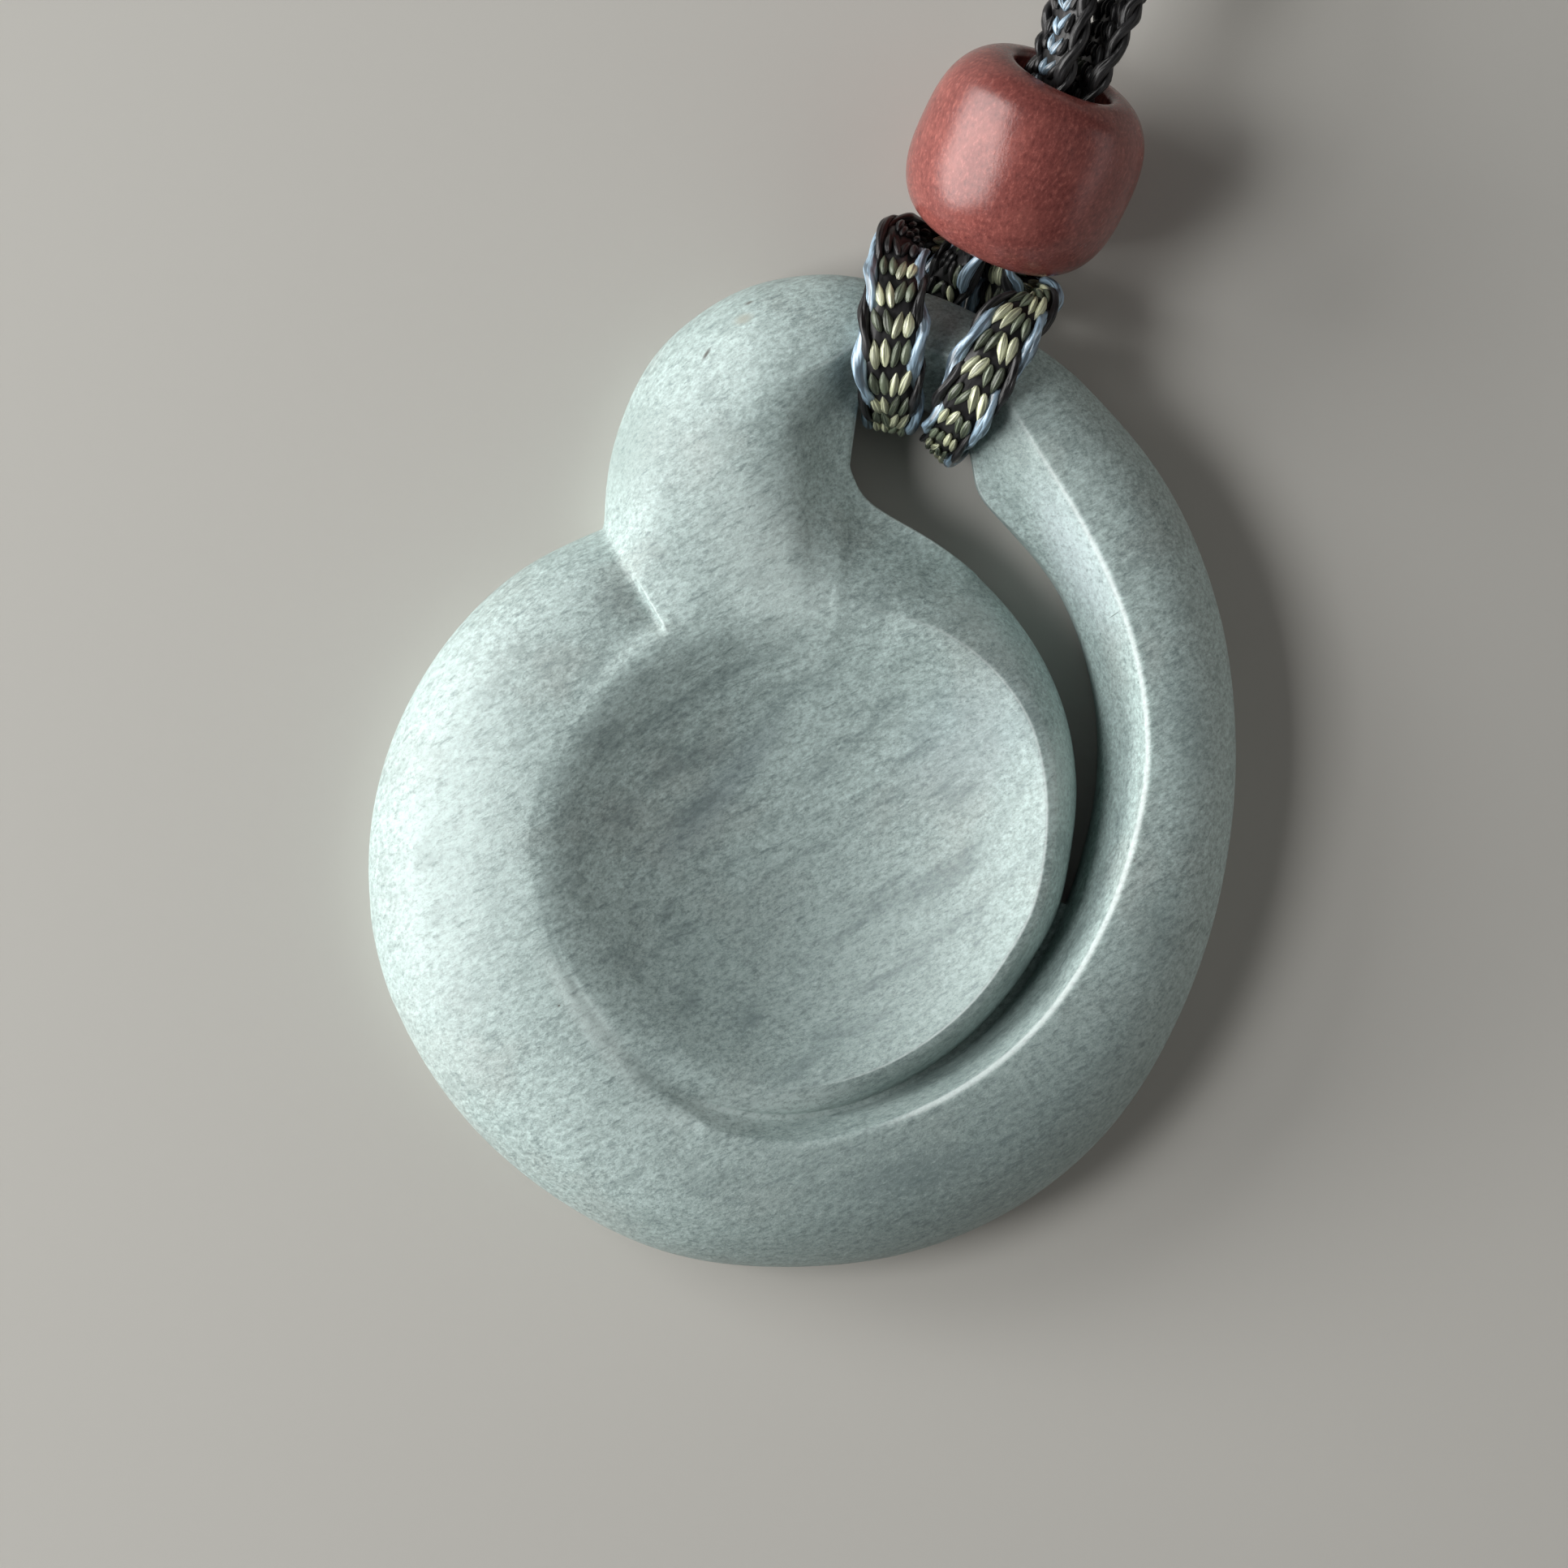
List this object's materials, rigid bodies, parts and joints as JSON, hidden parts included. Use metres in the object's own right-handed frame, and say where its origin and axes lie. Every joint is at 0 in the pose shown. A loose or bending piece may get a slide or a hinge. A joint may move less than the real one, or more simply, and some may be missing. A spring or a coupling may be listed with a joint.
{
  "type": "jadeite pendant necklace",
  "caption": "Spiral jadeite carving with a dished middle, hitched to a woven neck band that carries a red bead.",
  "frame": {"origin": "on the carving's flat back, under the middle of the dish", "axes": "+Z out of the carving's front, away from the surface it lies on; +Y up the carving towards the band; +X to the viewer's right"},
  "size_m": [0.2071, 0.2665, 0.0124],
  "materials": {
    "jadeite": "satin polish",
    "red_agate": "polished, lightly worn",
    "woven_band": "woven thread"
  },
  "bodies": {
    "root": {"jade_carving": "jadeite", "red_bead": "red_agate", "hitch_band": "woven_band", "neck_band": "woven_band"}
  },
  "joints": []
}
